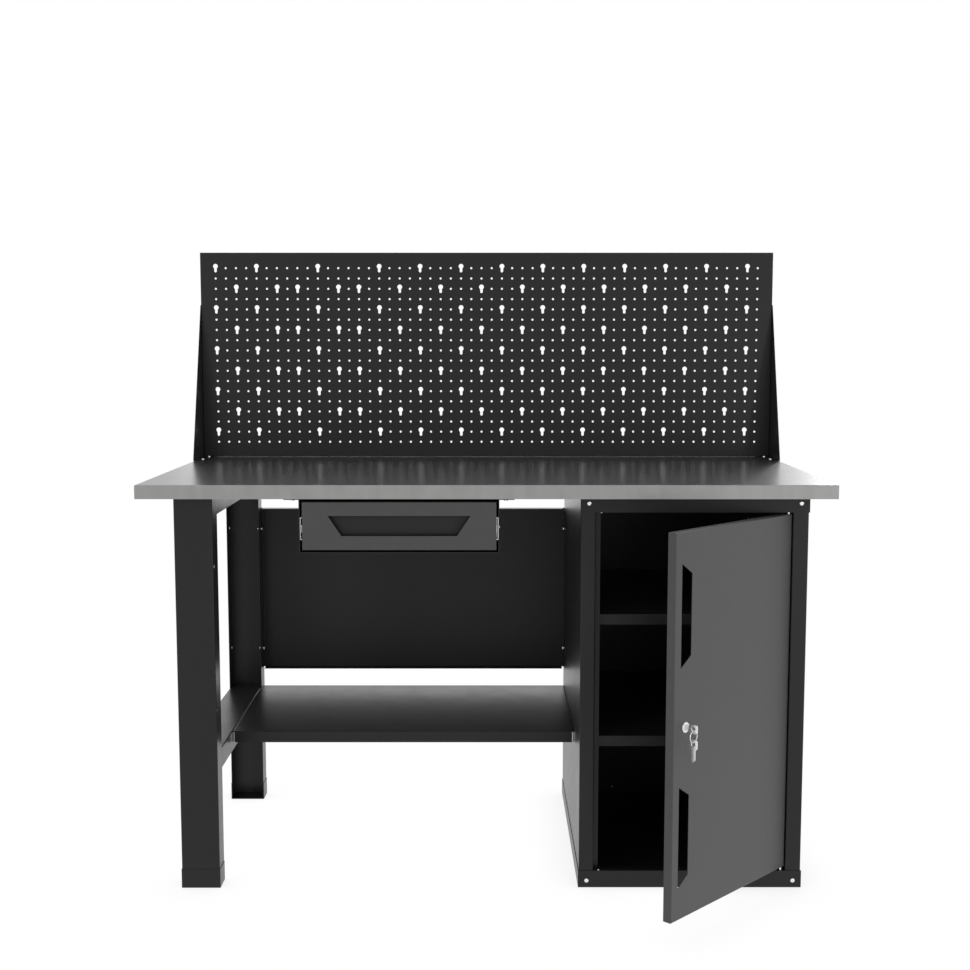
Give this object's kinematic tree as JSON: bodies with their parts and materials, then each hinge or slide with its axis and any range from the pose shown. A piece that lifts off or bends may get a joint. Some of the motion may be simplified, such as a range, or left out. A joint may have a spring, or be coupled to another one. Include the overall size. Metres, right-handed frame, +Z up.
{
  "type": "workbench",
  "caption": "Steel workbench with a folded-sheet worktop, perforated tool screen, hanging drawer on slides, lower shelf and a lockable hinged-door cabinet.",
  "frame": {"origin": "on the floor, in the middle of the box round the bench with its door standing open as in the picture", "axes": "+X to the right of a person working at the bench, +Y away from that person to the tool screen, +Z up"},
  "size_m": [1.4076, 0.926, 1.35],
  "materials": {
    "black_coat": "satin powder coat",
    "grey_coat": "satin powder coat",
    "top_steel": "satin zinc-coated sheet",
    "zinc_steel": "bright zinc plate",
    "board_wood": "raw board"
  },
  "bodies": {
    "bench": {"worktop_sheet": "top_steel", "worktop_board": "board_wood", "front_leg": "black_coat", "rear_leg": "black_coat", "top_crossbar": "black_coat", "lower_crossbar": "black_coat", "front_foot_cap": "black_coat", "rear_foot_cap": "black_coat", "lower_shelf": "black_coat", "modesty_panel": "black_coat", "tool_screen": "black_coat", "screen_gusset_left": "black_coat", "screen_gusset_right": "black_coat", "cabinet_left_side": "black_coat", "cabinet_right_side": "black_coat", "cabinet_back": "black_coat", "cabinet_top": "black_coat", "cabinet_base": "black_coat", "cabinet_shelf_upper": "black_coat", "cabinet_shelf_lower": "black_coat", "hinge_pin_lower": "zinc_steel", "hinge_pin_upper": "zinc_steel", "drawer_casing": "black_coat", "slide_outer_left": "zinc_steel", "slide_outer_right": "zinc_steel", "corner_screws": "zinc_steel", "gusset_screws": "zinc_steel", "screen_screws": "zinc_steel", "casing_screws": "zinc_steel", "worktop_screws": "zinc_steel", "back_rivets": "zinc_steel", "slide_rivets": "zinc_steel", "panel_bolts": "zinc_steel", "shelf_bolts": "zinc_steel", "shelf_rivets": "zinc_steel", "stop_rivets": "zinc_steel"},
    "door": {"door_panel": "grey_coat", "lock_body": "zinc_steel", "lock_nut": "zinc_steel"},
    "lock_rotor": {"lock_plug": "zinc_steel", "lock_cam": "zinc_steel", "cam_screw": "zinc_steel", "lock_key": "zinc_steel"},
    "key_ring": {"key_ring": "zinc_steel"},
    "spare_key": {"spare_key": "zinc_steel"},
    "drawer": {"drawer_box": "black_coat", "drawer_front": "grey_coat", "slide_inner_left": "zinc_steel", "slide_inner_right": "zinc_steel", "drawer_screws": "zinc_steel"},
    "slide_middle_left": {"slide_middle_left": "zinc_steel"},
    "slide_middle_right": {"slide_middle_right": "zinc_steel"}
  },
  "joints": [
    {"name": "door_hinge", "type": "hinge", "parent": "bench", "child": "door", "pos_m": [0.6129, -0.18115, 0.41625], "axis": [0, 0, 1], "range_deg": [-45.8, 64.2]},
    {"name": "lock_turn", "type": "hinge", "parent": "door", "child": "lock_rotor", "pos_m": [0.37067, -0.43812, 0.41625], "axis": [-0.7169, 0.6972, 0], "range_deg": [0, 90]},
    {"name": "ring_hang", "type": "hinge", "parent": "lock_rotor", "child": "key_ring", "pos_m": [0.38516, -0.4522, 0.4097], "axis": [-0.7169, 0.6972, 0], "range_deg": [-90, 0]},
    {"name": "spare_key_swing", "type": "hinge", "parent": "key_ring", "child": "spare_key", "pos_m": [0.38516, -0.4522, 0.39448], "axis": [-0.7169, 0.6972, 0], "range_deg": [-30, 30]},
    {"name": "drawer_slide", "type": "slide", "parent": "bench", "child": "drawer", "axis": [0, -1, 0], "range_m": [0, 0.42]},
    {"name": "slide_left_middle", "type": "slide", "parent": "bench", "child": "slide_middle_left", "axis": [0, -1, 0], "range_m": [0, 0.21]},
    {"name": "slide_right_middle", "type": "slide", "parent": "bench", "child": "slide_middle_right", "axis": [0, -1, 0], "range_m": [0, 0.21]}
  ],
  "couplings": [
    {"joint": "ring_hang", "follows": "lock_turn", "ratio": -1},
    {"joint": "slide_left_middle", "follows": "drawer_slide", "ratio": 0.5},
    {"joint": "slide_right_middle", "follows": "drawer_slide", "ratio": 0.5}
  ]
}
